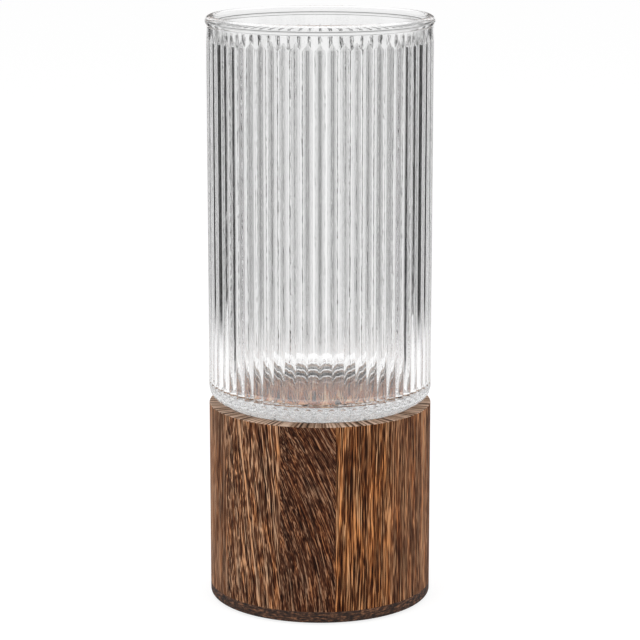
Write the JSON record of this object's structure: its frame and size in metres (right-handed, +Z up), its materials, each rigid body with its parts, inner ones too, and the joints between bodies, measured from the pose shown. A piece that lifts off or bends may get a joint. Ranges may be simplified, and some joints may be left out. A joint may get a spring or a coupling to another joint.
{
  "type": "flower vase",
  "caption": "Tall cylindrical flower vase: clear pressed glass with vertical ribs and a rolled lip, bonded to a turned dark wood base with a felt underside.",
  "frame": {"origin": "on the vase's axis, in the plane of the felt's underside that it stands on", "axes": "+Z up along the axis towards the mouth; +X and +Y across, with the glue planes of the boards square to +X and the pictured side facing -Y"},
  "size_m": [0.1014, 0.1014, 0.264],
  "materials": {
    "clear_glass": "fire-polished clear soda-lime glass",
    "clear_adhesive": "clear cured adhesive film",
    "charred_wood": "brushed and charred open grain, matt oil",
    "plate_wood": "turned, stained dark, matt oil",
    "dark_felt": "pressed felt"
  },
  "bodies": {
    "root": {"felt_disc": "dark_felt", "bottom_plate": "plate_wood", "wood_board_1": "charred_wood", "wood_board_2": "charred_wood", "wood_board_3": "charred_wood", "wood_board_4": "charred_wood", "wood_board_5": "charred_wood", "bond_ring": "clear_adhesive", "glass_vessel": "clear_glass"}
  },
  "joints": []
}
